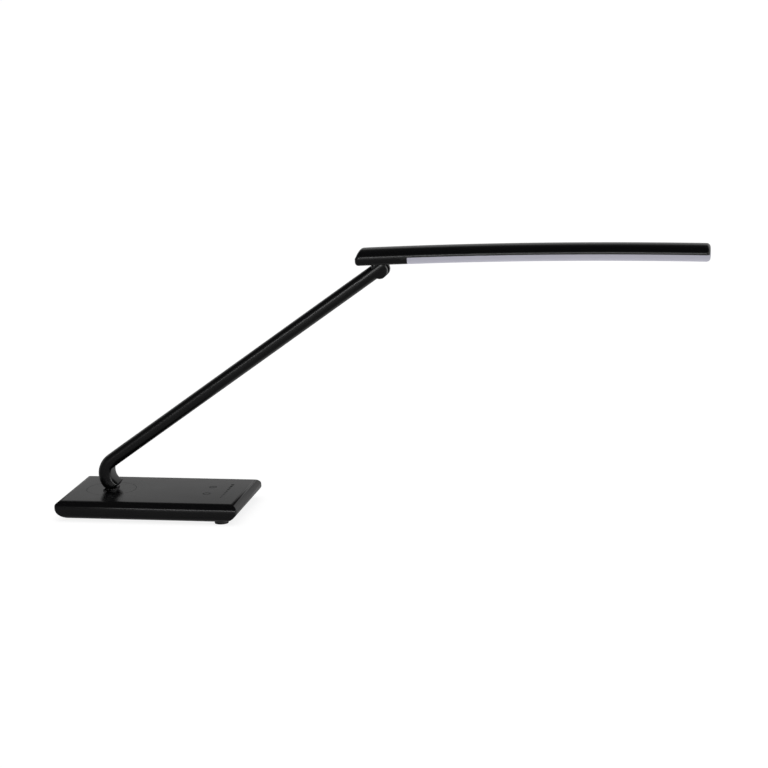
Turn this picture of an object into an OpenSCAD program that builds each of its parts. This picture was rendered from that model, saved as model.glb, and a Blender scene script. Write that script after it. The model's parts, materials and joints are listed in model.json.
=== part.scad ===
// Folding desk lamp with a flat weighted base, a hooked arm and an arched light bar.
// Millimetres, +Z up. The origin lies on the swivel axis, on the table.
// +X runs along the base towards the touch controls, +Y towards the back.

/* [Base] */
// Length of the base, left to right
base_length = 203.5; // [190:0.5:230]
// Depth of the base, front to back
base_depth = 119; // [110:1:140]
// Height of the base without its feet
base_height = 19.6; // [19:0.1:22]
// Distance from the base's left end to the swivel axis
swivel_inset = 47.5; // [44:0.5:60]
// Radius of the base's corners, seen from above
base_corner = 4; // [3.5:0.5:8]
// Radius of the base's top edge
top_edge = 8.4; // [7:0.1:8.8]
// Radius of the base's bottom edge, front and back
bottom_edge = 7.3; // [5:0.1:7.6]
// Radius of the drawn-in underside at the base's two ends
belly_radius = 20; // [16:0.5:24]
// Wall of the base's two covers
base_wall = 2.4; // [2:0.1:3]
// Thickness of the steel ballast plate
ballast_height = 9; // [7:0.5:10]
// Gap between ballast plate and covers, front and back
ballast_gap = 6; // [5:0.5:9]
// Height of the rubber feet
foot_height = 2.5; // [2:0.1:5]
// Radius of the rubber feet
foot_radius = 7.5; // [6:0.1:9]
// Radius of the round pad under the swivel
pad_radius = 19; // [17:0.5:22]

/* [Swivel] */
// Radius of the swivel disc
disc_radius = 27; // [24:0.5:30]
// Gap round the swivel disc
disc_gap = 0.4; // [0.3:0.1:0.8]
// Thickness of the swivel disc
disc_height = 3; // [2.6:0.1:3.4]
// Radius of the swivel spindle
spindle_radius = 6; // [5:0.1:7]
// Radius of the wire channels
channel_radius = 1.6; // [1.5:0.05:1.8]

/* [Arm] */
// Angle of the arm above level, as it stands
arm_angle = 35.2; // [20:0.1:60]
// Distance between the two hinge pins, along the arm
arm_reach = 385.8; // [300:0.1:450]
// Height of the arm's middle line over the lower pin, square to the arm
arm_rise = 16.3; // [15.8:0.1:16.8]
// Thickness of the arm, seen from the front
arm_height = 15; // [14.6:0.1:15.4]
// Width of the arm, front to back
arm_width = 22; // [21:0.1:26]
// Wall of the arm's tube
tube_wall = 1.6; // [1.2:0.1:2]
// Outer radius of the hooked elbow
elbow_radius = 25; // [24.6:0.1:27]
// Radius of the elbow's hollow inner side
hollow_radius = 16; // [15.5:0.1:16.5]
// Radius of the hook's round end, about the lower pin
hook_radius = 10.6; // [10.4:0.1:10.8]
// Distance from the tube's upper end to the upper pin
knuckle_length = 24.9; // [24.6:0.1:27]

/* [Hinges] */
// Radius of the two hinge pins
pin_radius = 2.5; // [2:0.1:3]
// Width of the hinge tongues
tongue_width = 8; // [6:0.1:9]
// Radius of the eyes at the tongues' ends
eye_radius = 5; // [4.6:0.1:5.1]
// Thickness of the friction washers
washer_height = 0.8; // [0.5:0.1:1.2]
// Radius of the arm's upper barrel
barrel_radius = 8.1; // [7.8:0.1:8.3]
// Distance of the upper pin below the arm's middle line
barrel_drop = 2.4; // [2:0.1:2.8]

/* [Head] */
// Angle of the head above level, as it stands
head_angle = 0.9; // [-10:0.1:30]
// Length of the head
head_length = 368; // [300:1:420]
// Distance from the head's left end to the upper pin
head_overhang = 24.9; // [24:0.1:26]
// Width of the head
head_width = 37; // [34:0.5:44]
// Height of the head's domed part, over its widest line
dome_height = 8.4; // [8:0.1:10]
// Depth of the head under its widest line
belly_height = 8.7; // [8.4:0.1:9]
// Height of the head's underside over the upper pin
underside_height = 6.9; // [6.7:0.1:7.3]
// Lean of the head's left end, at its top
end_lean = 3.2; // [0:0.1:4]
// Depth of the parting line under the widest line
parting_drop = 1; // [0.6:0.1:1.4]
// Radius of the head's arch
arch_radius = 5900; // [3500:100:12000]
// Length of the lower housing, ahead of the light
housing_length = 56; // [54:0.5:60]
// Rounding of the head's ends
end_round = 4; // [3:0.1:5]
// Wall of the head's covers
head_wall = 1.6; // [1.4:0.1:2]
// Number of LEDs
led_count = 36; // [12:1:48]

/* [Hidden] */
$fn = 64;
eps = 0.01;

// Fits
running_fit = 0.06;
slide_fit = 0.1;
loose_fit = 0.3;

// Base heights and places
base_bottom = foot_height;
base_top = base_bottom + base_height;
base_parting = base_top - top_edge;
floor_top = base_bottom + base_wall;
belly_draw = sqrt(pow(belly_radius, 2) - pow(belly_radius - (base_parting - base_bottom), 2));
base_left = -swivel_inset;
base_right = base_left + base_length;
base_middle = (base_left + base_right) / 2;
ballast_top = floor_top + ballast_height;

// Base screws: bosses hang from the cover and meet pillars on the tray
boss_radius = 4;
screw_radius = 1.5;
screw_head_radius = 2.8;
screw_head_height = 1.8;

// Feet, sockets and boards
foot_inset_x = 20.1;
foot_inset_y = 12;
left_foot_inset_x = 25.5;
left_foot_inset_y = 29.5;
foot_seat = 1.6;
plug_radius = 12;
socket_x = 55;
socket_width = 9;
socket_height = 9;
socket_back = 41;
socket_front = base_depth / 2 - bottom_edge - loose_fit;
socket_z = floor_top + 4.5;
snout_radius = 3.6;
socket_bore = 2.75;
socket_pin = 1;
socket_depth = 9.5;
standoff_height = 1.2;
driver_x = 58;
driver_length = 44;
driver_width = 40;
lead_x = 40;
lead_slot = 4.4;
touch_inset = 9;
touch_length = 52;
touch_width = 76;

// Small screws
cradle_screw = 1;
cradle_screw_head = 1.8;
cradle_screw_x = 4.8;
cradle_screw_y = 6.8;
set_screw = 1.5;
spreader_screw = 1.2;

// Swivel stack, from the disc down
glide_height = 0.5;
pocket_floor = 3;
disc_bottom = base_top - disc_height;
glide_bottom = disc_bottom - glide_height;
seat_bottom = glide_bottom - pocket_floor;
clamp_height = 1.5;
spring_height = 1.2;
nut_height = 4;
nut_radius = 10;
nut_bottom = seat_bottom - clamp_height - spring_height - nut_height;
clamp_radius = 13;
cradle_cover = 1;
lead_radius = channel_radius - loose_fit;
thin_lead_radius = 1;
spindle_bottom = nut_bottom - loose_fit;

// Cradle and lower hinge
end_gap = loose_fit;
lower_pin_z = base_top + hook_radius + end_gap;
cradle_length = 13;
cradle_width = 20;
cradle_height = 1.6;
fork_gap = tongue_width + 2 * washer_height;
ear_skin = 2;
cap_height = 1.4;
cap_radius = 4.4;
cap_inner = arm_width / 2 - 0.4 - cap_height;
arm_fold_down = 34;
arm_fold_up = 45;
fold_spare = 5;
tongue_angle = 270 - arm_angle;

// Arm, in its own frame: the lower pin at the origin, the arm along +X
arm_top = arm_rise + arm_height / 2;
arm_bottom = arm_rise - arm_height / 2;
elbow_z = arm_top - elbow_radius;
elbow_x = sqrt(pow(elbow_radius - hook_radius, 2) - pow(elbow_z, 2));
hollow_x = 21.9;
hollow_z = -2.3;
upper_pin_local_z = arm_rise - barrel_drop;
tube_start = elbow_x + 6;
tube_end = arm_reach - knuckle_length;
spigot_length = 16;
upper_pin_x = arm_reach * cos(arm_angle) - upper_pin_local_z * sin(arm_angle);
upper_pin_z = lower_pin_z + arm_reach * sin(arm_angle) + upper_pin_local_z * cos(arm_angle);
knuckle_shoulder = 5.2;
boss_inset = 0.8;
hook_drill_x = 16;
section_steps = 28;
section_power = 2.8;
hook_power = 6;

// Head, in its own frame: the upper pin at the origin, the head along +X
head_start = -head_overhang;
head_end = head_length - head_overhang;
head_middle = (head_start + head_end) / 2;
dome_power = 2.3;
belly_power = 5;
parting_height = belly_height - parting_drop;
housing_end = head_start + housing_length;
stop_length = 7;
stop_start = housing_end - stop_length;
spreader_height = 1.6;
spreader_width = 24;
spreader_level = belly_height + 2;
slot_start = -12.6;
slot_end = 6.6;
board_height = 1.2;
board_width = 12;
led_height = 0.8;
led_size = 2.8;
led_level = spreader_level - board_height - led_height - 0.08;
bracket_height = 2;
bracket_screw_x = 15.9;
bracket_screw_y = 7;
bracket_x = 1.5;
bracket_length = 37;
bracket_width = 26;
bracket_lift = 0.15;
spreader_screw_count = 4;
spreader_screw_reach = spreader_height + 2.4;
spreader_start = housing_end + 4;
spreader_end = head_end - 8;
led_start = spreader_start + 6;
led_pitch = (spreader_end - 6 - led_start) / (led_count - 1);

// Height of the head's underside over the upper pin, x along the head: a flat arc
function underside(x) = underside_height + x * (2 * head_middle - x) / (2 * arch_radius);

// One side of a rounded square curve of the given power, t in degrees
function curve_part(value, power) = sign(value) * pow(abs(value), 2 / power);

// Ring of points of the arm's section: y across, z along the given direction, towards which it may be squarer
function arm_ring(middle, up, half_height, half_width, power = section_power) = [
  for (i = [0:section_steps - 1])
    let (
      t = 360 * i / section_steps,
      shape = t < 180 ? power : section_power,
      rise = half_height * curve_part(sin(t), shape)
    )
      [middle[0] + up[0] * rise, half_width * curve_part(cos(t), shape), middle[1] + up[1] * rise]
];

// Closed solid through equal rings of points
module loft(rings) {
  n = len(rings[0]);
  last = (len(rings) - 1) * n;
  points = [for (ring = rings) each ring];
  sides = [
    for (i = [0:len(rings) - 2], j = [0:n - 1])
      let (a = i * n + j, b = i * n + (j + 1) % n)
        each [[a, b + n, b], [a, a + n, b + n]]
  ];
  first_cap = [for (j = [1:n - 2]) [0, j, j + 1]];
  last_cap = [for (j = [1:n - 2]) [last, last + j + 1, last + j]];
  polyhedron(points, concat(sides, first_cap, last_cap));
}

// Round wire along a route of [x, z] points in the plane y = 0
module wire(route, radius) {
  last = len(route) - 1;
  loft([
    for (i = [0:last])
      let (step = route[min(i + 1, last)] - route[max(i - 1, 0)], side = [-step[1], step[0]] / norm(step))
        [
          for (k = [0:7])
            [
              route[i][0] + side[0] * radius * cos(45 * k),
              -radius * sin(45 * k),
              route[i][1] + side[1] * radius * cos(45 * k)
            ]
        ]
  ]);
}

// Round bar along Y between two places
module bar(radius, from, to) {
  translate([0, from, 0]) rotate([-90, 0, 0]) cylinder(r = radius, h = to - from);
}

module in_arm() {
  translate([0, 0, lower_pin_z]) rotate([0, -arm_angle, 0]) children();
}

module in_head() {
  translate([upper_pin_x, 0, upper_pin_z]) rotate([0, -head_angle, 0]) children();
}

module at_barrel() {
  translate([arm_reach, 0, upper_pin_local_z]) children();
}

// Base

// The base seen from its front: round above the rim, and drawn in under it at both ends
module long_section(inset) {
  rim = base_parting;
  turn = top_edge - inset;
  intersection() {
    union() {
      translate([base_left + inset, base_bottom]) square([base_length - 2 * inset, rim - base_bottom]);
      translate([base_left + top_edge, rim - 1]) square([base_length - 2 * top_edge, turn + 1]);
      for (x = [base_left + top_edge, base_right - top_edge]) translate([x, rim]) circle(r = turn);
    }
    union() {
      translate([base_left + belly_draw, base_bottom + inset])
        square([base_length - 2 * belly_draw, base_height]);
      for (x = [base_left + belly_draw, base_right - belly_draw])
        translate([x, base_bottom + belly_radius]) circle(r = belly_radius - inset);
    }
  }
}

// The base seen from its right end: round above and below an upright side
module cross_section(inset) {
  half = base_depth / 2;
  for (side = [0, 1]) mirror([side, 0]) {
    translate([-eps, base_bottom + bottom_edge])
      square([half - inset + eps, base_parting - base_bottom - bottom_edge]);
    translate([-eps, base_bottom + inset]) square([half - bottom_edge + eps, base_height / 2]);
    translate([-eps, base_parting - 1]) square([half - top_edge + eps, top_edge - inset + 1]);
    translate([half - bottom_edge, base_bottom + bottom_edge]) circle(r = bottom_edge - inset);
    translate([half - top_edge, base_parting]) circle(r = top_edge - inset);
  }
}

module plan(inset) {
  turn = base_corner - inset;
  for (sx = [-1, 1], sy = [-1, 1])
    translate([base_middle + sx * (base_length / 2 - base_corner), sy * (base_depth / 2 - base_corner)])
      circle(r = turn);
  translate([base_left + inset, base_corner - base_depth / 2])
    square([base_length - 2 * inset, base_depth - 2 * base_corner]);
  translate([base_left + base_corner, inset - base_depth / 2])
    square([base_length - 2 * base_corner, base_depth - 2 * inset]);
}

// The base's rounded slab, drawn in by the given inset
module slab(inset = 0) {
  intersection() {
    rotate([90, 0, 0]) linear_extrude(2 * base_depth, center = true) long_section(inset);
    translate([base_left - 1, 0, 0]) rotate([90, 0, 90]) linear_extrude(base_length + 2) cross_section(inset);
    linear_extrude(2 * base_top) plan(inset);
  }
}

module at_base_screws() {
  for (x = [base_left + foot_inset_x, base_right - foot_inset_x], side = [-1, 1])
    translate([x, side * (base_depth / 2 - foot_inset_y), 0]) children();
}

// A block wider than the base, between two heights
module layer(from, to) {
  translate([base_left - 10, -base_depth, from]) cube([base_length + 20, 2 * base_depth, to - from]);
}

module base_cover() {
  pocket_radius = disc_radius + disc_gap;
  color("#17181a")
  difference() {
    union() {
      difference() {
        slab();
        slab(base_wall);
        layer(0, base_parting);
      }
      translate([0, 0, seat_bottom])
        cylinder(r = pocket_radius + base_wall, h = base_top - base_wall / 2 - seat_bottom);
      at_base_screws()
        translate([0, 0, base_parting]) cylinder(r = boss_radius, h = top_edge - base_wall / 2);
    }
    translate([0, 0, glide_bottom]) cylinder(r = pocket_radius, h = base_height);
    cylinder(r = spindle_radius + slide_fit, h = base_top);
    at_base_screws() cylinder(r = screw_radius, h = base_top - base_wall - 1);
  }
}

module base_tray() {
  color("#1b1c1e")
  difference() {
    union() {
      difference() {
        slab();
        slab(base_wall);
        layer(base_parting, base_top + 1);
      }
      at_base_screws()
        translate([0, 0, base_bottom + base_wall / 2])
          cylinder(r = boss_radius, h = base_parting - base_bottom - base_wall / 2);
    }
    at_base_screws() {
      cylinder(r = screw_radius + slide_fit, h = base_parting + 1);
      cylinder(r = screw_head_radius + slide_fit, h = base_bottom + screw_head_height);
    }
    cylinder(r = plug_radius, h = floor_top + 1);
    translate([socket_x, 0, socket_z]) bar(snout_radius + slide_fit, socket_front - 1, base_depth / 2 + 1);
  }
}

module ballast_plate() {
  inset = base_wall + ballast_gap;
  end_inset = belly_draw + loose_fit;
  corner = boss_radius + 1.5;
  color("#6f7275")
  difference() {
    translate([base_left + end_inset, -base_depth / 2 + inset, floor_top])
      cube([base_length - 2 * end_inset, base_depth - 2 * inset, ballast_height]);
    cylinder(r = clamp_radius + 1.5, h = base_top);
    translate([0, -lead_slot / 2, 0]) cube([lead_x + lead_slot / 2, lead_slot, base_top]);
    at_base_screws() translate([-corner, -corner, 0]) cube([2 * corner, 2 * corner, base_top]);
    translate([socket_x - socket_width / 2 - loose_fit, socket_back - loose_fit, 0])
      cube([socket_width + 2 * loose_fit, base_depth, base_top]);
  }
}

module base_feet() {
  color("#232426")
  difference() {
    for (side = [-1, 1]) {
      translate([base_right - foot_inset_x, side * (base_depth / 2 - foot_inset_y), 0])
        cylinder(r = foot_radius, h = foot_height + foot_seat);
      translate([base_left + left_foot_inset_x, side * (base_depth / 2 - left_foot_inset_y), 0])
        cylinder(r = foot_radius, h = foot_height + foot_seat);
    }
    slab();
  }
}

module swivel_pad() {
  color("#232426") {
    cylinder(r = pad_radius, h = foot_height);
    cylinder(r = plug_radius - slide_fit, h = floor_top);
  }
}

module base_screws() {
  color("#8d9094")
  at_base_screws() {
    translate([0, 0, base_bottom + 0.2]) cylinder(r = screw_head_radius, h = screw_head_height - 0.2);
    translate([0, 0, base_bottom + 0.2]) cylinder(r = screw_radius, h = base_parting - base_bottom + 2.5);
  }
}

module touch_board() {
  color("#1d5a38")
  translate([base_right - touch_inset - touch_length, -touch_width / 2, base_top - base_wall - board_height])
    cube([touch_length, touch_width, board_height]);
}

module at_driver_corners() {
  for (sx = [-1, 1], sy = [-1, 1])
    translate([driver_x + sx * (driver_length / 2 - 3), sy * (driver_width / 2 - 3), 0]) children();
}

module driver_board() {
  color("#1d5a38")
  difference() {
    translate([driver_x - driver_length / 2, -driver_width / 2, ballast_top + standoff_height])
      cube([driver_length, driver_width, board_height]);
    at_driver_corners() cylinder(r = 1, h = base_top);
  }
  color("#2a2b2d")
  for (i = [0:3])
    translate([driver_x - 12 + 7 * i, -9, ballast_top + standoff_height + board_height]) cube([5, 8, 1.2]);
  color("#c9b47a")
  translate([driver_x + 4, 8, ballast_top + standoff_height + board_height]) cylinder(r = 4, h = 1.2);
}

module board_standoffs() {
  color("#d8d8d4")
  at_driver_corners() {
    translate([0, 0, ballast_top]) cylinder(r = 2, h = standoff_height);
    translate([0, 0, ballast_top]) cylinder(r = 1, h = standoff_height + board_height);
  }
}

// Round low-voltage inlet with its centre pin, seated in the tray behind the ballast
module power_socket() {
  mouth = base_depth / 2 - base_wall;
  color("#101113")
  translate([socket_x, 0, socket_z])
  difference() {
    union() {
      translate([-socket_width / 2, socket_back, floor_top - socket_z])
        cube([socket_width, socket_front - socket_back, socket_height]);
      bar(snout_radius, socket_front - 1, mouth + base_wall / 2);
    }
    bar(socket_bore, mouth - socket_depth, mouth + base_wall);
  }
  color("#b9bcc0")
  translate([socket_x, 0, socket_z]) bar(socket_pin, mouth - socket_depth - 1, mouth - 1);
}

module base_lead() {
  low = floor_top + thin_lead_radius + 0.1;
  color("#2b2b2b")
  wire([
    [lead_x, ballast_top + standoff_height],
    [lead_x, low + 4],
    [lead_x - 0.4, low + 2.2],
    [lead_x - 1.2, low + 1],
    [lead_x - 2.4, low + 0.3],
    [lead_x - 4, low],
    [-1, low]
  ], thin_lead_radius);
}

// Swivel

module swivel_glide_washer() {
  color("#e4e4e0")
  translate([0, 0, glide_bottom])
  difference() {
    cylinder(r = disc_radius - 1, h = glide_height);
    translate([0, 0, -1]) cylinder(r = spindle_radius + loose_fit, h = 4);
  }
}

module swivel_disc() {
  color("#17181a")
  difference() {
    translate([0, 0, disc_bottom]) cylinder(r = disc_radius, h = disc_height);
    cylinder(r = spindle_radius, h = base_top + 1);
    translate([-cradle_length / 2, -cradle_width / 2, base_top - cradle_cover])
      cube([cradle_length, cradle_width, 2 * cradle_cover]);
    at_cradle_screws() {
      cylinder(r = cradle_screw, h = base_top + 1);
      cylinder(r = cradle_screw_head, h = disc_bottom + 1);
    }
  }
}

module swivel_spindle() {
  color("#9a9da1")
  difference() {
    translate([0, 0, spindle_bottom])
      cylinder(r = spindle_radius, h = base_top - cradle_cover - spindle_bottom);
    cylinder(r = channel_radius, h = base_top + 1);
  }
}

module ring(radius, bore, from, height) {
  translate([0, 0, from])
  difference() {
    cylinder(r = radius, h = height);
    translate([0, 0, -1]) cylinder(r = bore, h = height + 2);
  }
}

module swivel_clamp_washer() {
  color("#a5a8ab") ring(clamp_radius, spindle_radius + slide_fit, seat_bottom - clamp_height, clamp_height);
}

module swivel_spring_washer() {
  color("#8b8e92") ring(nut_radius, spindle_radius + slide_fit, nut_bottom + nut_height, spring_height);
}

module swivel_nut() {
  color("#a5a8ab")
  difference() {
    translate([0, 0, nut_bottom]) cylinder(r = nut_radius, h = nut_height, $fn = 6);
    cylinder(r = spindle_radius, h = base_top);
  }
}

module at_cradle_screws() {
  for (sx = [-1, 1], sy = [-1, 1])
    translate([sx * cradle_screw_x, sy * cradle_screw_y, 0]) children();
}

// Foot with a round seat for the hook's end, and the tongue that carries the lower pin
module hinge_cradle() {
  foot_bottom = base_top - cradle_cover;
  color("#141517")
  difference() {
    union() {
      difference() {
        translate([-cradle_length / 2, -cradle_width / 2, foot_bottom])
          cube([cradle_length, cradle_width, cradle_cover + cradle_height]);
        translate([0, 0, lower_pin_z]) bar(hook_radius + end_gap, -cradle_width, cradle_width);
      }
      translate([-eye_radius, -tongue_width / 2, foot_bottom])
        cube([2 * eye_radius, tongue_width, lower_pin_z - foot_bottom]);
      translate([0, 0, lower_pin_z]) bar(eye_radius, -tongue_width / 2, tongue_width / 2);
    }
    translate([0, 0, lower_pin_z]) bar(pin_radius, -tongue_width, tongue_width);
    cylinder(r = channel_radius, h = lower_pin_z - pin_radius - 1);
    at_cradle_screws() cylinder(r = cradle_screw, h = base_top + 0.5);
  }
}

module cradle_screws() {
  color("#8d9094")
  at_cradle_screws() {
    translate([0, 0, disc_bottom + 0.1]) cylinder(r = cradle_screw_head, h = 0.9);
    translate([0, 0, disc_bottom + 0.1]) cylinder(r = cradle_screw, h = base_top + 0.5 - disc_bottom - 0.1);
  }
}

// Hinge pin from the blind front ear to just under the rear cap
module hinge_pin() {
  color("#a9acb0") bar(pin_radius, -arm_width / 2 + ear_skin + 0.2, cap_inner - 0.2);
}

module lower_hinge_pin() {
  translate([0, 0, lower_pin_z]) hinge_pin();
}

module spindle_lead() {
  color("#2b2b2b")
  translate([0, 0, spindle_bottom])
    cylinder(r = lead_radius, h = lower_pin_z - pin_radius - 1.2 - spindle_bottom);
}

// Arm

// Bores of a fork's two ears: blind at the front, capped at the rear
module fork_bores() {
  bar(pin_radius + running_fit, -arm_width / 2 + ear_skin, arm_width);
  bar(cap_radius, cap_inner, arm_width);
}

module pin_cap() {
  color("#141517") bar(cap_radius, cap_inner, cap_inner + cap_height);
}

module friction_washers() {
  color("#d9d9d4")
  difference() {
    for (side = [0, 1]) mirror([0, side, 0]) bar(eye_radius, tongue_width / 2, fork_gap / 2);
    bar(pin_radius + running_fit, -arm_width, arm_width);
  }
}

// Places across the hook, each from its outer to its inner outline, from the tube to the tip
function on_circle(center, radius, angle) = center + radius * [cos(angle), sin(angle)];
function hook_station(outer, inner, power = hook_power) =
  let (span = norm(inner - outer))
    arm_ring((outer + inner) / 2, (inner - outer) / span, span / 2, arm_width / 2, power);

module arm_hook() {
  elbow = [elbow_x, elbow_z];
  hollow = [hollow_x, hollow_z];
  seam = atan2(-elbow_z, -elbow_x);
  corner = 180 - asin((arm_bottom - hollow_z) / hollow_radius);
  reach = norm(hollow);
  along = (pow(hook_radius, 2) - pow(hollow_radius, 2) + pow(reach, 2)) / (2 * reach);
  tip = atan2(hollow_z, hollow_x) - acos(along / hook_radius);
  tip_point = on_circle([0, 0], hook_radius, tip);
  tip_turn = 360 + atan2(tip_point[1] - hollow_z, tip_point[0] - hollow_x);
  halfway = corner + (tip_turn - corner) * 0.55;
  color("#17181a")
  in_arm() {
    difference() {
      union() {
        loft(concat(
          [hook_station([tube_start, arm_top], [tube_start, arm_bottom], section_power)],
          [
            for (i = [0:12])
              hook_station(
                on_circle(elbow, elbow_radius, 90 + (seam - 90) * i / 12),
                on_circle(hollow, hollow_radius, corner + (halfway - corner) * i / 12)
              )
          ],
          [
            for (i = [1:13])
              hook_station(
                on_circle([0, 0], hook_radius, seam + (360 + tip - 2 - seam) * i / 13),
                on_circle(hollow, hollow_radius, halfway + (tip_turn - halfway) * i / 13)
              )
          ]
        ));
        spigot(tube_start - 1, tube_start + spigot_length);
      }
      bar(eye_radius + loose_fit, -fork_gap / 2, fork_gap / 2);
      for (turn = [tongue_angle - arm_fold_up - fold_spare, tongue_angle - 8, tongue_angle + arm_fold_down])
        rotate([0, -turn, 0])
          translate([0, -fork_gap / 2, -eye_radius - loose_fit])
            cube([2 * hook_radius, fork_gap, 2 * (eye_radius + loose_fit)]);
      fork_bores();
      drill([hook_drill_x, arm_rise], [tube_start + spigot_length + 1, arm_rise]);
      drill([-1, 4], [hook_drill_x + 1, arm_rise + 0.5]);
      translate([tube_start + spigot_length / 2, 0, 0]) cylinder(r = set_screw, h = arm_rise - 2);
    }
  }
}

// Round channel between two [x, z] places
module drill(from, to) {
  step = to - from;
  translate([from[0], 0, from[1]])
    rotate([0, 90 - atan2(step[1], step[0]), 0])
      cylinder(r = channel_radius, h = norm(step));
}

// Plug that fills the tube's bore between two places
module spigot(from, to) {
  fit = tube_wall + slide_fit;
  loft([
    for (x = [from, to])
      arm_ring([x, arm_rise], [0, 1], arm_height / 2 - fit, arm_width / 2 - fit)
  ]);
}

module arm_tube() {
  color("#17181a")
  in_arm()
  difference() {
    loft([for (x = [tube_start, tube_end]) arm_ring([x, arm_rise], [0, 1], arm_height / 2, arm_width / 2)]);
    loft([
      for (x = [tube_start - 1, tube_end + 1])
        arm_ring([x, arm_rise], [0, 1], arm_height / 2 - tube_wall, arm_width / 2 - tube_wall)
    ]);
    for (x = [tube_start + spigot_length / 2, tube_end - spigot_length / 2])
      translate([x, 0, 0]) cylinder(r = set_screw + slide_fit, h = arm_rise);
  }
}

module arm_knuckle() {
  shoulder = arm_reach - knuckle_shoulder;
  color("#17181a")
  in_arm()
  difference() {
    union() {
      loft([for (x = [tube_end, shoulder]) arm_ring([x, arm_rise], [0, 1], arm_height / 2, arm_width / 2)]);
      spigot(tube_end - spigot_length, tube_end + 1);
      intersection() {
        loft([
          for (x = [shoulder - 1, arm_reach + 2 * eye_radius])
            arm_ring([x, arm_rise], [0, 1], arm_height / 2, arm_width / 2)
        ]);
        at_barrel() bar(barrel_radius + 0.15, -arm_width, arm_width);
      }
      at_barrel() bar(barrel_radius, boss_inset - arm_width / 2, arm_width / 2);
    }
    translate([arm_reach - eye_radius - 1.2, -fork_gap / 2, 0]) cube([30, fork_gap, 2 * arm_top]);
    at_barrel() fork_bores();
    drill([tube_end - spigot_length - 1, arm_rise], [arm_reach, arm_rise]);
    translate([tube_end - spigot_length / 2, 0, 0]) cylinder(r = set_screw, h = arm_rise - 2);
  }
}

module arm_set_screws() {
  color("#8d9094")
  in_arm()
  for (x = [tube_start + spigot_length / 2, tube_end - spigot_length / 2])
    translate([x, 0, arm_bottom + 0.3]) cylinder(r = set_screw, h = arm_height / 2 - 2.5);
}

module lower_friction_washers() {
  in_arm() friction_washers();
}

module upper_friction_washers() {
  in_arm() at_barrel() friction_washers();
}

module lower_pin_cap() {
  in_arm() pin_cap();
}

module upper_pin_cap() {
  in_arm() at_barrel() pin_cap();
}

module arm_lead() {
  color("#2b2b2b")
  in_arm()
  wire([
    [2.6, 6.9],
    [hook_drill_x - 1, arm_rise - 1],
    [hook_drill_x + 2, arm_rise],
    [arm_reach - eye_radius - 2, arm_rise]
  ], thin_lead_radius);
}

// Head

function head_ring(x, inset) =
  let (
    from_end = min(x - head_start - inset, head_end - inset - x),
    turn = max(end_round - inset, 1),
    drawn = from_end >= turn ? 0 : turn - sqrt(max(0, pow(turn, 2) - pow(turn - from_end, 2))),
    half = head_width / 2 - inset - drawn,
    up = dome_height - inset - drawn,
    down = belly_height - inset - 0.7 * drawn,
    middle = underside(x) + belly_height,
    lean = end_lean * max(0, 1 - (x - head_start) / 14)
  )
    [
      for (i = [0:31])
        let (
          t = 360 * i / 32,
          above = t < 180,
          rise = (above ? up : down) * curve_part(sin(t), above ? dome_power : belly_power)
        )
          [
            x + lean * pow(max(0, rise) / dome_height, 0.6),
            half * curve_part(cos(t), above ? dome_power : belly_power),
            middle + rise
          ]
    ];

// The head's whole form, drawn in by the given inset
module head_form(inset) {
  first = head_start + inset;
  last = head_end - inset;
  turn = max(end_round - inset, 1);
  steps = 14;
  ends = [for (a = [0:15:90]) turn * (1 - cos(a))];
  loft(concat(
    [for (d = ends) head_ring(first + d, inset)],
    [for (i = [1:steps - 1]) head_ring(first + turn + (last - first - 2 * turn) * i / steps, inset)],
    [for (i = [len(ends) - 1:-1:0]) head_ring(last - ends[i], inset)]
  ));
}

// Arched block from one height over the underside to another, between two places along the head
module arched_block(from, to, low, high, width) {
  steps = 12;
  xs = [for (i = [0:steps]) from + (to - from) * i / steps];
  rotate([90, 0, 0])
  linear_extrude(width, center = true)
    polygon(concat(
      [for (x = xs) [x, underside(x) + low]],
      [for (i = [steps:-1:0]) [xs[i], underside(xs[i]) + high]]
    ));
}

module head_shell(wall) {
  difference() {
    head_form(0);
    head_form(wall);
  }
}

module at_spreader_screws() {
  for (i = [1:spreader_screw_count])
    let (x = led_start + led_pitch * (floor(led_count * (i - 0.5) / spreader_screw_count) - 0.5))
      translate([x, 0, underside(x) + spreader_level]) children();
}

module head_cover() {
  color("#141517")
  in_head() {
    difference() {
      head_shell(head_wall);
      arched_block(head_start - 5, head_end + 5, -20, parting_height, 2 * head_width);
    }
    difference() {
      intersection() {
        at_spreader_screws()
          translate([0, 0, spreader_height]) cylinder(r = 2.6, h = 20);
        head_form(head_wall / 2);
      }
      at_spreader_screws() cylinder(r = spreader_screw, h = spreader_screw_reach);
    }
  }
}

// The belly's wall between two places along the head
module belly_part(from, to, wall) {
  intersection() {
    head_shell(wall);
    arched_block(from, to, -5, parting_height, 2 * head_width);
  }
}

module at_bracket() {
  x = bracket_x;
  slope = atan((head_middle - x) / arch_radius);
  translate([x, 0, underside(x) + head_wall + bracket_lift]) rotate([0, -slope, 0]) children();
}

module head_housing() {
  color("#232527")
  in_head()
  difference() {
    belly_part(head_start - 1, stop_start, head_wall);
    translate([slot_start, -arm_width / 2 - 0.5, 0])
      cube([slot_end - slot_start, arm_width + 1, underside_height + head_wall + 0.5]);
    at_bracket_screws() translate([0, 0, -head_wall + 0.3]) cylinder(r = spreader_screw, h = head_wall + 1);
  }
}

module at_bracket_screws() {
  for (x = [-1, 1], side = [-1, 1])
    at_bracket() translate([x * bracket_screw_x, side * bracket_screw_y, 0]) children();
}

module diffuser_stop() {
  color("#0d0e0f") in_head() belly_part(stop_start, housing_end, 2 * head_wall);
}

module diffuser() {
  color("#d9d8e6") in_head() belly_part(housing_end, head_end + 1, head_wall);
}

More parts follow.
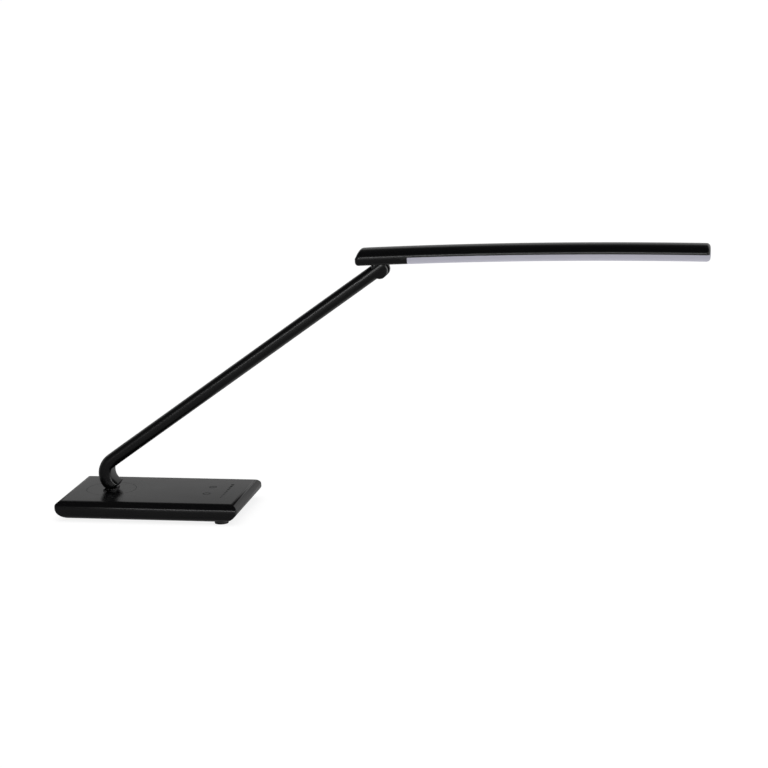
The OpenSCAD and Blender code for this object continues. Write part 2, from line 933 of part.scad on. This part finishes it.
module heat_spreader() {
  color("#b4b7ba")
  in_head()
  difference() {
    arched_block(
      spreader_start, spreader_end, spreader_level, spreader_level + spreader_height, spreader_width
    );
    at_spreader_screws() translate([0, 0, -2]) cylinder(r = spreader_screw, h = 6);
  }
}

module led_board() {
  color("#e9e9e4")
  in_head()
  difference() {
    arched_block(
      spreader_start + 1, spreader_end - 1, spreader_level - board_height, spreader_level, board_width
    );
    at_spreader_screws() translate([0, 0, -4]) cylinder(r = spreader_screw, h = 8);
  }
}

module leds() {
  color("#f3e3a0")
  in_head()
  for (i = [0:led_count - 1])
    let (x = led_start + led_pitch * i)
      translate([x - led_size / 2, -led_size / 2, underside(x) + led_level])
        cube([led_size, led_size, led_height]);
}

module spreader_screws() {
  color("#8d9094")
  in_head()
  at_spreader_screws() {
    translate([0, 0, -board_height - 1])
      cylinder(r = spreader_screw, h = spreader_screw_reach + board_height + 0.8);
    translate([0, 0, -board_height - 1.05]) cylinder(r = 2.1, h = 1);
  }
}

// Plate inside the housing with the tongue that hangs from it to the upper pin
module head_bracket() {
  color("#8f9296")
  in_head()
  difference() {
    union() {
      intersection() {
        at_bracket()
          translate([-bracket_length / 2, -bracket_width / 2, -1])
            cube([bracket_length, bracket_width, bracket_height + 1]);
        head_form(head_wall + bracket_lift);
      }
      translate([-eye_radius, -tongue_width / 2, 0])
        cube([2 * eye_radius, tongue_width, underside_height + head_wall + bracket_height]);
      bar(eye_radius, -tongue_width / 2, tongue_width / 2);
    }
    bar(pin_radius, -tongue_width, tongue_width);
    at_bracket_screws() translate([0, 0, -1]) cylinder(r = spreader_screw, h = 4);
  }
}

module bracket_screws() {
  color("#8d9094")
  in_head()
  at_bracket_screws() {
    translate([0, 0, -head_wall + 0.4]) cylinder(r = spreader_screw, h = head_wall + bracket_height + 0.6);
    translate([0, 0, bracket_height]) cylinder(r = 2.1, h = 1.2);
  }
}

module upper_hinge_pin() {
  in_head() hinge_pin();
}

module head_lead() {
  top = underside_height + head_wall + bracket_height + thin_lead_radius + 1.2;
  board = underside(spreader_start) + spreader_level - board_height / 2;
  color("#2b2b2b")
  in_head()
  wire([
    [-2, top],
    [spreader_start - 14, top],
    [spreader_start - 10, top - 0.6],
    [spreader_start - 1, (top + board) / 2],
    [spreader_start + 0.3, board]
  ], thin_lead_radius);
}

base_cover();
base_tray();
ballast_plate();
base_feet();
swivel_pad();
base_screws();
touch_board();
driver_board();
board_standoffs();
power_socket();
base_lead();
swivel_glide_washer();
swivel_disc();
swivel_spindle();
swivel_clamp_washer();
swivel_spring_washer();
swivel_nut();
hinge_cradle();
cradle_screws();
lower_hinge_pin();
spindle_lead();
arm_hook();
arm_tube();
arm_knuckle();
arm_set_screws();
lower_friction_washers();
upper_friction_washers();
lower_pin_cap();
upper_pin_cap();
arm_lead();
head_cover();
head_housing();
diffuser_stop();
diffuser();
heat_spreader();
led_board();
leds();
head_bracket();
upper_hinge_pin();
bracket_screws();
spreader_screws();
head_lead();
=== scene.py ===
import json
import math
import bmesh
import bpy
import numpy as np
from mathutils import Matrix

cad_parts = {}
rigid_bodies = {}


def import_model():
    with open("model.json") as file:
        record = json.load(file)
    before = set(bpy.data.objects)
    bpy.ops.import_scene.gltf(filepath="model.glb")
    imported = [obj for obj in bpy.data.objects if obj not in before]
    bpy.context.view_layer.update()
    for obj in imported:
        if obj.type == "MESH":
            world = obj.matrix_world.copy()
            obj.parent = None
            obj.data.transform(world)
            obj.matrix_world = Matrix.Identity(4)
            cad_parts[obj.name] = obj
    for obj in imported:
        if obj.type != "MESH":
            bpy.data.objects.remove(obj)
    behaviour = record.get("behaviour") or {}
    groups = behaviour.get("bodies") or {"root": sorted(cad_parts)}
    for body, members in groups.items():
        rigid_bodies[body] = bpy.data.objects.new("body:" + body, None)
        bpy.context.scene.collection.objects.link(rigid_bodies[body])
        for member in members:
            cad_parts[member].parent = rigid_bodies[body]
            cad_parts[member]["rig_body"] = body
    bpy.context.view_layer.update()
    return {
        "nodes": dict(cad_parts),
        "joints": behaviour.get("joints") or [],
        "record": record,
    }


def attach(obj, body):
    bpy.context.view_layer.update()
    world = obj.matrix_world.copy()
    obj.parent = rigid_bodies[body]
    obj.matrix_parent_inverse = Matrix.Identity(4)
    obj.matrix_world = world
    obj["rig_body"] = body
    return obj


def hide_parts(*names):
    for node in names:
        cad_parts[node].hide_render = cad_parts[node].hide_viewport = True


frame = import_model()
nodes = frame["nodes"]
mm = 0.001
print("frame loaded:", len(nodes), "nodes")


# Camera, floor and light

camera = {
    "place": (701.5, -2196.3, 619.1),  # mm
    "down": 12.02,  # degrees below level
    "left": 10.17,  # degrees turned to the left of straight ahead
    "roll": -1.37,
    "lens": 100.45,  # mm
    "sensor": 36,  # mm wide
    "farClip": 200,  # m
}

studio = {
    "floorHex": "#8f8f8f",
    "floorRoughness": 0.9,
    "floorGlow": 0.86,  # evenly lit paper, so that shadows stay faint
    "floorHalf": 60.0,  # m
    "skyStrength": 1.6,  # wide soft light from straight above
    "skyAngle": 75,  # degrees across
    "ceiling": 0.03,  # brightness of the room, as the finish mirrors it
    "frontWall": 0.13,
    "backWall": 0.38,
    "rightWall": 0.75,
    "frontToBack": (-0.3, 0.3),  # where one wall blends into the next, as parts of a unit direction
    "middleToRight": (0.35, 0.95),
    "wallToCeiling": (0.25, 0.55),
    "stripPlace": (0.35, -3.2, 0.42),  # m, a long low lamp in front
    "stripAim": (0.35, 0.0, 0.15),
    "stripSize": (3.4, 0.3),
    "stripPower": 19,  # W
}


def linearColour(hexText):
    # sRGB hex to the linear values that a shader takes
    parts = [int(hexText[i:i + 2], 16) / 255 for i in (1, 3, 5)]
    return tuple(p / 12.92 if p <= 0.04045 else ((p + 0.055) / 1.055) ** 2.4 for p in parts) + (1.0,)


def makeCamera():
    down, left, roll = (math.radians(camera[k]) for k in ("down", "left", "roll"))
    ahead = np.array([-math.sin(left) * math.cos(down), math.cos(left) * math.cos(down), -math.sin(down)])
    right = np.array([math.cos(left), math.sin(left), 0.0])
    below = np.cross(ahead, right)
    turnedRight = math.cos(roll) * right - math.sin(roll) * below
    turnedBelow = math.sin(roll) * right + math.cos(roll) * below
    axes = np.stack([turnedRight, -turnedBelow, -ahead], axis=1)
    data = bpy.data.cameras.new("camera")
    data.lens = camera["lens"]
    data.sensor_width = camera["sensor"]
    data.clip_end = camera["farClip"]
    obj = bpy.data.objects.new("camera", data)
    bpy.context.scene.collection.objects.link(obj)
    world = np.eye(4)
    world[:3, :3] = axes
    world[:3, 3] = np.array(camera["place"]) * mm
    obj.matrix_world = world.T.tolist()
    bpy.context.scene.camera = obj


def addNode(tree, kind, settings=None, links=None):
    # settings: socket or node property to value; links: socket to another node's output
    node = tree.nodes.new(kind)
    sockets = {socket.identifier: socket for socket in node.inputs}
    for name, value in (settings or {}).items():
        if name in sockets:
            sockets[name].default_value = value
        else:
            setattr(node, name, value)
    for name, source in (links or {}).items():
        tree.links.new(source, sockets[name])
    return node


def facing(place, aim):
    # matrix of something at one place whose back is turned to what it points at
    back = np.array(place) - np.array(aim)
    back = back / np.linalg.norm(back)
    side = np.cross([0, 1, 0] if abs(back[2]) > 0.99 else [0, 0, 1], back)
    side = side / np.linalg.norm(side)
    world = np.eye(4)
    world[:3, :3] = np.stack([side, np.cross(back, side), back], axis=1)
    world[:3, 3] = place
    return world.T.tolist()


def addLight(name, kind, place, aim, **settings):
    data = bpy.data.lights.new(name, kind)
    for key, value in settings.items():
        setattr(data, key, value)
    obj = bpy.data.objects.new(name, data)
    bpy.context.scene.collection.objects.link(obj)
    obj.matrix_world = facing(place, aim)
    return obj


def makeRoom():
    # brightness: front wall to back wall by y, right wall by x, ceiling by z; the eye itself sees plain white
    world = bpy.data.worlds.new("studio")
    world.use_nodes = True
    tree = world.node_tree
    direction = addNode(tree, "ShaderNodeTexCoord").outputs["Generated"]
    parts = addNode(tree, "ShaderNodeSeparateXYZ", {}, {"Vector": direction}).outputs
    eye = addNode(tree, "ShaderNodeLightPath").outputs["Is Camera Ray"]
    level = addNode(tree, "ShaderNodeValue").outputs["Value"]
    level.default_value = studio["frontWall"]
    blends = [
        (parts["Y"], studio["frontToBack"], studio["backWall"]),
        (parts["X"], studio["middleToRight"], studio["rightWall"]),
        (parts["Z"], studio["wallToCeiling"], studio["ceiling"]),
        (eye, (0, 1), 1.0),
    ]
    for source, (low, high), brightness in blends:
        settings = {"interpolation_type": "SMOOTHSTEP", "From Min": low, "From Max": high,
                    "To Max": brightness}
        blend = addNode(tree, "ShaderNodeMapRange", settings, {"Value": source, "To Min": level})
        level = blend.outputs["Result"]
    tree.links.new(level, tree.nodes["Background"].inputs["Strength"])
    tree.nodes["Background"].inputs["Color"].default_value = (1, 1, 1, 1)
    bpy.context.scene.world = world


def makeStudio():
    material = bpy.data.materials.new("seamlessPaper")
    material.use_nodes = True
    shader = material.node_tree.nodes["Principled BSDF"]
    shader.inputs["Base Color"].default_value = linearColour(studio["floorHex"])
    shader.inputs["Roughness"].default_value = studio["floorRoughness"]
    shader.inputs["Specular IOR Level"].default_value = 0.0
    shader.inputs["Emission Color"].default_value = (1, 1, 1, 1)
    shader.inputs["Emission Strength"].default_value = studio["floorGlow"]
    half = studio["floorHalf"]
    mesh = bpy.data.meshes.new("floor")
    corners = [(-half, -half, 0), (half, -half, 0), (half, half, 0), (-half, half, 0)]
    mesh.from_pydata(corners, [], [(0, 1, 2, 3)])
    mesh.materials.append(material)
    floor = bpy.data.objects.new("floor", mesh)
    bpy.context.scene.collection.objects.link(floor)
    floor.visible_glossy = False
    makeRoom()
    sky = addLight("sky", "SUN", (0, 0, 3), (0, 0, 0), energy=studio["skyStrength"],
                   angle=math.radians(studio["skyAngle"]))
    sky.visible_glossy = False
    addLight("strip", "AREA", studio["stripPlace"], studio["stripAim"], energy=studio["stripPower"],
             shape="RECTANGLE", size=studio["stripSize"][0], size_y=studio["stripSize"][1])
    bpy.context.scene.view_settings.view_transform = "Standard"


makeCamera()
makeStudio()
print("camera and studio set")


# Materials

def startMaterial(name):
    material = bpy.data.materials.new(name)
    material.use_nodes = True
    tree = material.node_tree
    shader = tree.nodes["Principled BSDF"]
    place = addNode(tree, "ShaderNodeTexCoord").outputs["Object"]
    return material, tree, shader, place


def cloudFinish(tree, shader, cloud, look):
    # colour and roughness drift together between two values, with the same soft noise
    ends = {"A_Color": linearColour(look["dark"]), "B_Color": linearColour(look["light"])}
    mix = addNode(tree, "ShaderNodeMix", {"data_type": "RGBA", **ends}, {"Factor_Float": cloud})
    colour = [socket for socket in mix.outputs if socket.identifier == "Result_Color"][0]
    limits = {"To Min": look["smooth"], "To Max": look["rough"]}
    band = addNode(tree, "ShaderNodeMapRange", limits, {"Value": cloud})
    tree.links.new(colour, shader.inputs["Base Color"])
    tree.links.new(band.outputs["Result"], shader.inputs["Roughness"])


# Plastics, rubber, boards and the coated tube. The mould's real grain is about a tenth of a millimetre and
# would not show, so it is drawn coarser. Sizes in mm.
mouldedLooks = {
    # injection moulded, satin: broad soft reflections over an almost black body
    "black_plastic": {"name": "mouldedAbs", "dark": "#070708", "light": "#09090a",
                      "smooth": 0.2, "rough": 0.25, "grain": 0.7, "depth": 0.003},
    # drawn, blasted and anodised: a little duller, so a line of light keeps a soft edge
    "black_aluminium": {"name": "anodisedTube", "dark": "#070707", "light": "#09090a",
                        "smooth": 0.22, "rough": 0.27, "grain": 0.5, "depth": 0.003},
    # matt outer face: milky and faintly violet, with no clear reflection
    "frosted_plastic": {"name": "frostedPolycarbonate", "dark": "#b2b1bd", "light": "#b7b6c3",
                        "smooth": 0.5, "rough": 0.6, "grain": 0.4, "depth": 0.002},
    # dull dark grey
    "foot_rubber": {"name": "mouldedRubber", "dark": "#131314", "light": "#19191a",
                    "smooth": 0.6, "rough": 0.7, "grain": 0.5, "depth": 0.01},
    # waxy white
    "white_plastic": {"name": "naturalAcetal", "dark": "#dcdcd6", "light": "#e6e6e0",
                      "smooth": 0.35, "rough": 0.45, "grain": 1.0, "depth": 0.004},
    # printed lacquer: glossy, over a faint weave
    "circuit_board": {"name": "greenSolderMask", "dark": "#0b3a1e", "light": "#0f4a28",
                      "smooth": 0.25, "rough": 0.35, "grain": 1.5, "depth": 0.004},
    "white_circuit_board": {"name": "whiteSolderMask", "dark": "#dedfda", "light": "#e8e8e4",
                            "smooth": 0.3, "rough": 0.4, "grain": 1.5, "depth": 0.004},
    # cast silicone with yellow powder in it
    "led_phosphor": {"name": "ledPhosphor", "dark": "#d9b23c", "light": "#e6c65a",
                     "smooth": 0.35, "rough": 0.5, "grain": 0.6, "depth": 0.01},
    # extruded round the wire: dark with a soft shine
    "lead_jacket": {"name": "vinylJacket", "dark": "#161616", "light": "#1d1d1d",
                    "smooth": 0.4, "rough": 0.5, "grain": 0.8, "depth": 0.004},
    # screen printed: flat dark grey that catches no light
    "touch_ink": {"name": "matteTouchInk", "dark": "#1c1c1d", "light": "#222223",
                  "smooth": 0.75, "rough": 0.85, "grain": 0.5, "depth": 0.002},
}

# Bare metals; cloud in mm, stretch along x, y and z
metalLooks = {
    # sawn and left bare: grey, clouded and dull
    "ballast_iron": {"name": "cutIronPlate", "dark": "#4a4846", "light": "#6a6865",
                     "smooth": 0.5, "rough": 0.7, "cloud": 12, "stretch": (1, 1, 1)},
    # electroplated: pale, with a faintly mottled shine
    "zinc_steel": {"name": "zincPlatedSteel", "dark": "#8f9194", "light": "#a9abae",
                   "smooth": 0.3, "rough": 0.45, "cloud": 4, "stretch": (1, 1, 1)},
    # rolled: bright, with streaks along the sheet
    "plain_aluminium": {"name": "rolledAluminium", "dark": "#b4b6b8", "light": "#c6c8ca",
                        "smooth": 0.35, "rough": 0.5, "cloud": 3, "stretch": (0.05, 1, 1)},
}

plasticIor = 1.53
mouldCloud = 40  # mm, how far the colour of a moulding drifts


def mouldedFinish(look):
    # an even colour, broken by the fine eroded grain of the mould
    material, tree, shader, place = startMaterial(look["name"])
    cloud = addNode(tree, "ShaderNodeTexNoise", {"Scale": 1 / (mouldCloud * mm), "Detail": 3},
                    {"Vector": place})
    cloudFinish(tree, shader, cloud.outputs["Fac"], look)
    grain = addNode(tree, "ShaderNodeTexNoise", {"Scale": 1 / (look["grain"] * mm), "Detail": 2},
                    {"Vector": place})
    bump = addNode(tree, "ShaderNodeBump", {"Strength": 1.0, "Distance": look["depth"] * mm},
                   {"Height": grain.outputs["Fac"]})
    tree.links.new(bump.outputs["Normal"], shader.inputs["Normal"])
    shader.inputs["IOR"].default_value = plasticIor
    return material


def metalFinish(look):
    # clouded or streaked metal
    material, tree, shader, place = startMaterial(look["name"])
    streaked = addNode(tree, "ShaderNodeMapping", {"Scale": look["stretch"]}, {"Vector": place})
    cloud = addNode(tree, "ShaderNodeTexNoise", {"Scale": 1 / (look["cloud"] * mm), "Detail": 4},
                    {"Vector": streaked.outputs["Vector"]})
    cloudFinish(tree, shader, cloud.outputs["Fac"], look)
    shader.inputs["Metallic"].default_value = 1.0
    return material


def makeFinish(slot):
    return metalFinish(metalLooks[slot]) if slot in metalLooks else mouldedFinish(mouldedLooks[slot])


made = {}
for part in frame["record"]["subparts"]:
    slot = part["material_slot"]
    if slot not in made:
        made[slot] = makeFinish(slot)
    obj = nodes[part["node"]]
    obj.data.materials.clear()
    obj.data.materials.append(made[slot])
made["touch_ink"] = makeFinish("touch_ink")
print("materials made:", len(made))


# Shapes shared by the skins

arm = {
    "angle": 35.2,  # degrees that the tube rises
    "rise": 16.3,  # lower pin to the tube's middle, across it, mm
    "height": 15.0,
    "width": 22.0,
    "wall": 1.6,
    "power": 2.8,  # roundness of the section, 2 is an ellipse
    "elbowRadius": 25.0,
    "hookRadius": 10.6,  # the hook's round end, about the lower pin
    "elbowToTube": 6.0,
    "around": 97,
    "along": 40,
    "reach": 385.8,  # pin to pin, along the tube
    "knuckle": 24.9,  # the tube's upper end to the upper pin
}

head = {
    "angle": 0.9,  # degrees that the head rises to its free end
    "start": -24.9,  # from the upper pin, mm
    "end": 343.1,
    "width": 37.0,
    "dome": 8.4,
    "belly": 8.7,
    "domePower": 2.3,
    "bellyPower": 5.0,
    "partingDrop": 1.0,
    "endRound": 4.0,
    "wall": 1.6,
    "underside": 6.9,  # over the pin
    "lean": 3.2,  # of the left end, at its top
    "leanReach": 14,  # from the left end, where the lean has run out
    "leanPower": 0.6,
    "bellyDraw": 0.7,  # how far the underside follows the rounding of the ends
    "endSteps": 13,
    "shutSteps": 6,
    "archRadius": 5900.0,
    "housing": 56.0,
    "stop": 7.0,
    "around": 96,
    "along": 120,
}

joints = {joint["name"]: joint for joint in frame["joints"]}
seam = 0.002  # mm, points nearer than this are one


def turned(points, angle, joint):
    # from a moving body's own frame, in mm, to the lamp's, in metres
    a = math.radians(angle)
    x, y, z = points[..., 0], points[..., 1], points[..., 2]
    place = np.stack([x * math.cos(a) - z * math.sin(a), y, x * math.sin(a) + z * math.cos(a)], axis=-1)
    return place * mm + np.array(joints[joint]["pos_m"])


def curve(value, power):
    # a rounded square's side: the sign of the value times its size to the power 2 / power
    return np.sign(value) * np.abs(value) ** (2 / power)


def gridFaces(rows, columns, start=0):
    # quads between neighbouring points of a grid that is stored row by row
    i, j = np.meshgrid(np.arange(rows - 1), np.arange(columns - 1), indexing="ij")
    a = start + i * columns + j
    return np.stack([a, a + 1, a + columns + 1, a + columns], axis=-1).reshape(-1, 4)


def finishMesh(name, points, faces, body, slot, replaced, sharp=35):
    # merges seams, turns faces outwards, smooths, and sets the piece on its body
    mesh = bpy.data.meshes.new(name)
    mesh.from_pydata(points.reshape(-1, 3), [], faces.tolist())
    work = bmesh.new()
    work.from_mesh(mesh)
    bmesh.ops.remove_doubles(work, verts=work.verts, dist=seam * mm)
    bmesh.ops.dissolve_degenerate(work, edges=work.edges, dist=seam / 2 * mm)
    bmesh.ops.recalc_face_normals(work, faces=work.faces)
    work.to_mesh(mesh)
    work.free()
    mesh.shade_smooth()
    mesh.set_sharp_from_angle(angle=math.radians(sharp))
    mesh.materials.append(made[slot])
    obj = bpy.data.objects.new(name, mesh)
    bpy.context.scene.collection.objects.link(obj)
    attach(obj, body)
    if replaced:
        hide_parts(*replaced)
    return obj


def shellFaces(rows, columns, openRows=True, openColumns=True):
    # outer and inner grids of the same size, joined along their open edges
    size = rows * columns
    faces = [gridFaces(rows, columns), gridFaces(rows, columns, size)]
    i = np.arange(rows - 1) * columns
    j = np.arange(columns - 1)
    if openColumns:
        for edge in (i, i + columns - 1):
            faces.append(np.stack([edge, edge + columns, edge + columns + size, edge + size], axis=-1))
    if openRows:
        for edge in (j, j + (rows - 1) * columns):
            faces.append(np.stack([edge, edge + 1, edge + 1 + size, edge + size], axis=-1))
    return np.concatenate(faces)


# Head

def headRows(inset, start, end):
    # places along the head and how far each section is closed: its ends are rounded, then shut by a flat
    turn = max(head["endRound"] - inset, 1)
    bend = turn * (1 - np.cos(np.linspace(0, math.pi / 2, head["endSteps"])))
    shut = np.linspace(0, 1, head["shutSteps"])[:-1]
    whole = np.ones(len(bend))
    first = head["start"] + inset
    last = head["end"] - inset
    x = [np.full(len(shut), first), first + bend] if start is None else [np.array([start])]
    size = [shut, whole] if start is None else [np.ones(1)]
    low = x[-1][-1]
    high = last - turn if end is None else end
    inside = np.linspace(low, high, head["along"])[1:-1]
    x.append(inside)
    size.append(np.ones(len(inside)))
    x += [last - bend[::-1], np.full(len(shut), last)] if end is None else [np.array([end])]
    size += [whole, shut[::-1]] if end is None else [np.ones(1)]
    return np.concatenate(x), np.concatenate(size)


def headSurface(inset, start, end, domed):
    # half of the head's skin, above or below its parting line, by x along and the angle around:
    # y = half width times a rounded cosine, z = height times a rounded sine, over an underside that arches
    # as x times (length less x), all drawn in by a quarter circle at the ends
    x, size = headRows(inset, start, end)
    turn = max(head["endRound"] - inset, 1)
    fromEnd = np.minimum(x - head["start"] - inset, head["end"] - inset - x)
    part = np.clip(turn - fromEnd, 0, turn)
    drawn = turn - np.sqrt(turn ** 2 - part ** 2)
    half = head["width"] / 2 - inset - drawn
    up = head["dome"] - inset - drawn
    down = head["belly"] - inset - head["bellyDraw"] * drawn
    middle = (head["start"] + head["end"]) / 2
    under = head["underside"] + x * (2 * middle - x) / (2 * head["archRadius"])
    level = under + head["belly"]
    parting = -np.arcsin((head["partingDrop"] / down) ** (head["bellyPower"] / 2))
    share = np.linspace(0, 1, head["around"])[None, :]
    if domed:
        angle = parting[:, None] + (math.pi - 2 * parting[:, None]) * share
    else:
        angle = math.pi - parting[:, None] + (math.pi + 2 * parting[:, None]) * share
    c, s = np.cos(angle), np.sin(angle)
    above = s >= 0
    y = half[:, None] * np.where(above, curve(c, head["domePower"]), curve(c, head["bellyPower"]))
    domeHeight = up[:, None] * curve(s, head["domePower"])
    bellyHeight = down[:, None] * curve(s, head["bellyPower"])
    z = np.where(above, domeHeight, bellyHeight)
    lean = head["lean"] * np.clip(1 - (x - head["start"]) / head["leanReach"], 0, None)
    raised = np.clip(z * size[:, None], 0, None) / head["dome"]
    leaning = x[:, None] + lean[:, None] * raised ** head["leanPower"]
    y = y * size[:, None]
    z = (z + head["partingDrop"]) * size[:, None] - head["partingDrop"] + level[:, None]
    return np.stack([leaning, y, z], axis=-1)


def headShell(name, start, end, domed, wall, slot, replaced):
    # an outer and an inner skin, a wall apart, joined along the parting line and any open end
    outer = headSurface(0, start, end, domed)
    inner = headSurface(wall, start, end, domed)
    faces = shellFaces(outer.shape[0], outer.shape[1], openRows=start is not None or end is not None)
    points = turned(np.stack([outer, inner]), head["angle"], "head_tilt")
    return finishMesh(name, points, faces, "head", slot, replaced)


def makeHead():
    housingEnd = head["start"] + head["housing"]
    stopStart = housingEnd - head["stop"]
    wall = head["wall"]
    headShell("headCover", None, None, True, wall, "black_plastic", ["head_cover"])
    headShell("diffuserStop", stopStart, housingEnd, False, 2 * wall, "black_plastic", ["diffuser_stop"])
    headShell("diffuserCover", housingEnd, None, False, wall, "frosted_plastic", ["diffuser"])
    print("head skins made")


# Arm

def armSection(along, inset):
    # rings of the tube's section: y = half width times a rounded cosine, z = rise plus half height times
    # a rounded sine, x along the tube
    angle = np.linspace(0, 2 * math.pi, arm["around"])[None, :]
    shape = (len(along), arm["around"])
    y = (arm["width"] / 2 - inset) * curve(np.cos(angle), arm["power"])
    z = arm["rise"] + (arm["height"] / 2 - inset) * curve(np.sin(angle), arm["power"])
    return np.stack([np.broadcast_to(np.array(along)[:, None], shape), np.broadcast_to(y, shape),
                     np.broadcast_to(z, shape)], axis=-1)


def makeTube():
    drop = arm["rise"] + arm["height"] / 2 - arm["elbowRadius"]
    start = math.sqrt((arm["elbowRadius"] - arm["hookRadius"]) ** 2 - drop ** 2) + arm["elbowToTube"]
    along = np.linspace(start, arm["reach"] - arm["knuckle"], arm["along"])
    outer = armSection(along, 0)
    inner = armSection(along, arm["wall"])
    points = turned(np.stack([outer, inner]), arm["angle"], "arm_tilt")
    faces = shellFaces(arm["along"], arm["around"], openColumns=False)
    finishMesh("armTube", points, faces, "arm", "black_aluminium", ["arm_tube"])
    print("tube made")


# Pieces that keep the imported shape: merged, then smoothed between their real edges

def smoothed(name, node, sharp=30):
    copy = nodes[node].data.copy()
    points = np.empty(len(copy.vertices) * 3)
    copy.vertices.foreach_get("co", points)
    corners = np.empty(len(copy.loops), dtype=np.int64)
    copy.loops.foreach_get("vertex_index", corners)
    part = [p for p in frame["record"]["subparts"] if p["node"] == node][0]
    body = nodes[node]["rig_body"]
    finishMesh(name, points.reshape(-1, 3), corners.reshape(-1, 3), body, part["material_slot"], [node], sharp)


# Touch marks, printed thinly on the base's top

marks = {
    "level": 22.1,  # the base's top, mm
    "ink": 0.06,
    "keys": [(111.0, 16.0), (111.0, -12.0)],
    "keyRadius": 4.2,
    "keyLine": 0.9,
    "keyDot": 0.9,  # in the first key alone
    "around": 49,
    "sliderX": 130.5,
    "sliderReach": 27.0,  # to each side of the middle
    "sliderDots": 9,
    "dotRadii": (0.8, 1.9),  # from the low end to the high end
}


def flatRing(centre, inner, outer):
    # closed band of ink: x = cx + r cos a, y = cy + r sin a, with r and z going once round its section
    around = np.linspace(0, 2 * math.pi, marks["around"])[None, :]
    low, high = marks["level"] - marks["ink"], marks["level"] + marks["ink"]
    radius = np.array([inner, outer, outer, inner, inner])[:, None]
    height = np.array([low, low, high, high, low])[:, None]
    x = centre[0] + radius * np.cos(around)
    y = centre[1] + radius * np.sin(around)
    return np.stack([x, y, np.broadcast_to(height, x.shape)], axis=-1)


def makeMarks():
    reach = marks["sliderReach"]
    places = np.linspace(-reach, reach, marks["sliderDots"])
    radii = np.linspace(*marks["dotRadii"], marks["sliderDots"])
    inside = marks["keyRadius"] - marks["keyLine"]
    rings = [flatRing(key, inside, marks["keyRadius"]) for key in marks["keys"]]
    rings.append(flatRing(marks["keys"][0], 0.0, marks["keyDot"]))
    rings += [flatRing((marks["sliderX"], y), 0.0, r) for y, r in zip(places, radii)]
    rows, columns = rings[0].shape[:2]
    faces = np.concatenate([gridFaces(rows, columns, i * rows * columns) for i in range(len(rings))])
    finishMesh("touchMarks", np.stack(rings) * mm, faces, "base", "touch_ink", [])
    print("touch marks made:", len(rings))


makeHead()
makeTube()
makeMarks()
smoothed("baseTop", "base_cover")
smoothed("baseTray", "base_tray")
smoothed("armHook", "arm_hook", 40)
smoothed("armKnuckle", "arm_knuckle", 40)
smoothed("headHousing", "head_housing", 40)
print("smoothed pieces made")


bpy.context.view_layer.update()
